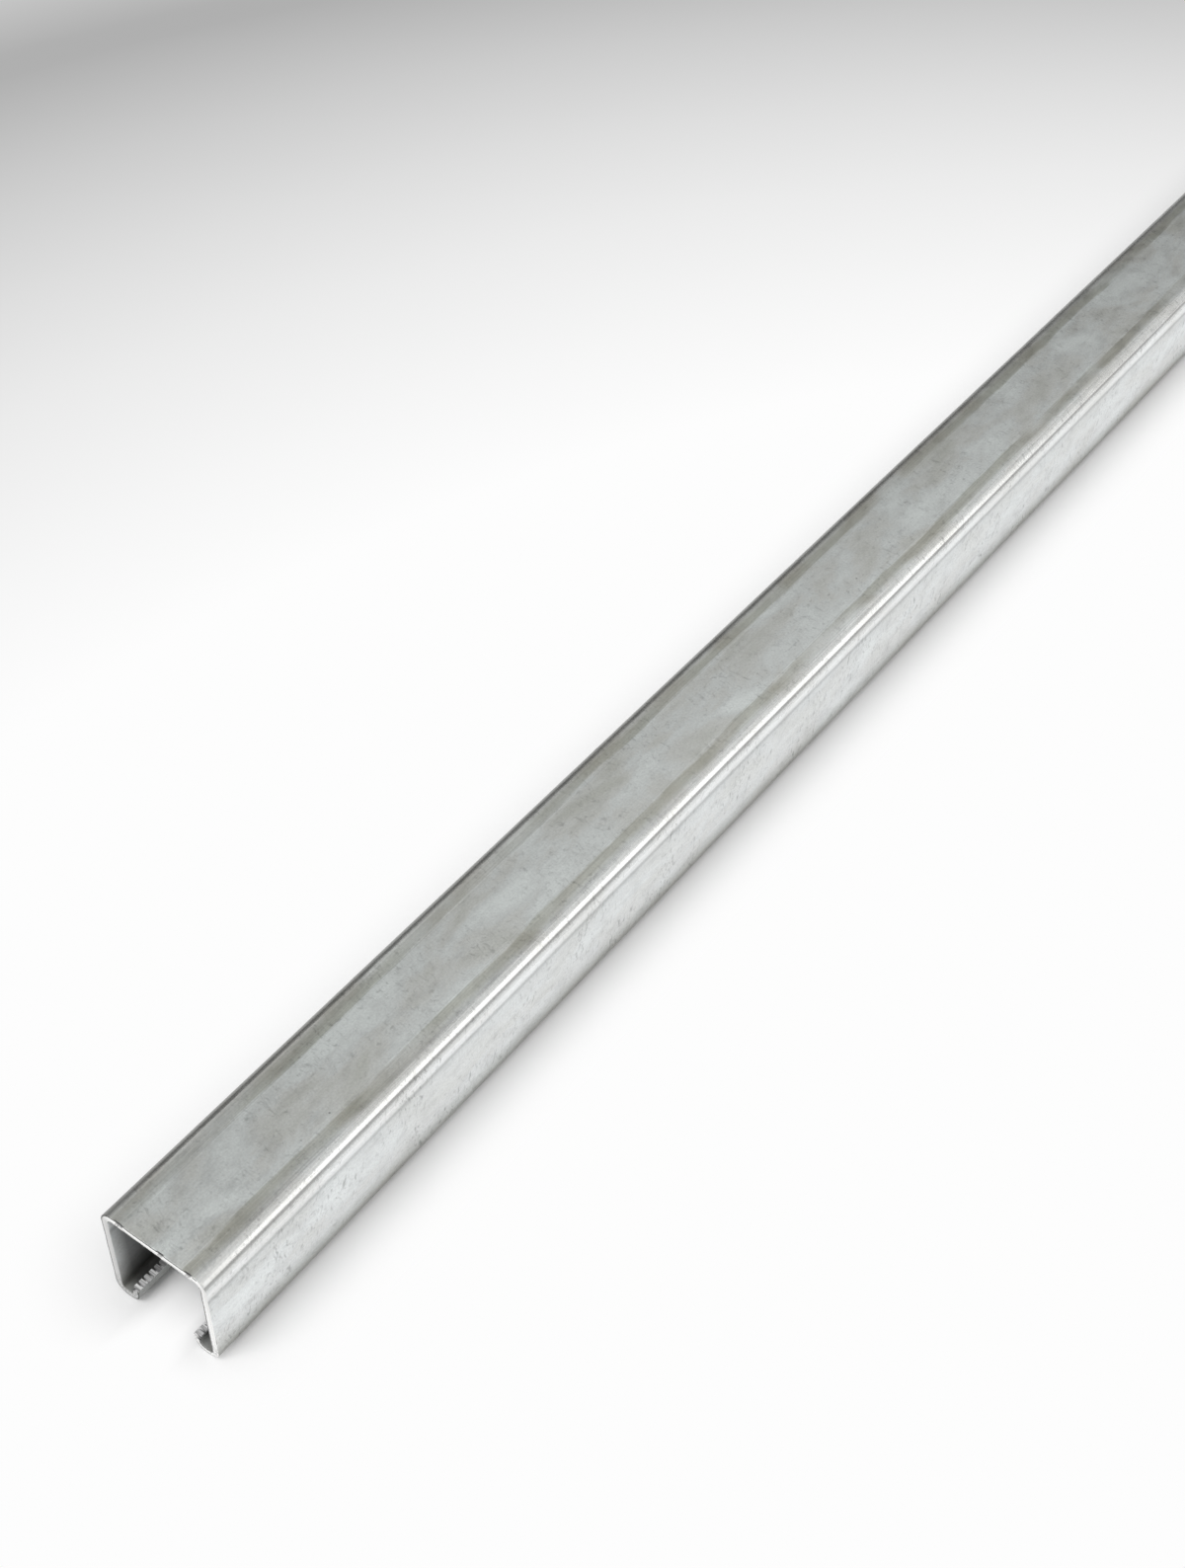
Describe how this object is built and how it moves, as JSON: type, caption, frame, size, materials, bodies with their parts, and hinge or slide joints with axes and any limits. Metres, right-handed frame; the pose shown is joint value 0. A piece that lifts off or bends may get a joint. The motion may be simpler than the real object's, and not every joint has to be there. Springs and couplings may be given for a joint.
{
  "type": "strut channel",
  "caption": "Roll-formed steel strut channel of square C section, with a plain web, an open slot between in-turned lips, and square-cut ends.",
  "frame": {"origin": "middle of the length and of the width, on the plane that the lips rest on", "axes": "+X along the length, +Y across from flange to flange, +Z from the lips towards the back of the web"},
  "size_m": [1, 0.0412, 0.0413],
  "materials": {
    "zinc_steel": "dull galvanised zinc with lengthwise roller marks, bright along the bends"
  },
  "bodies": {
    "root": {"channel": "zinc_steel"}
  },
  "joints": []
}
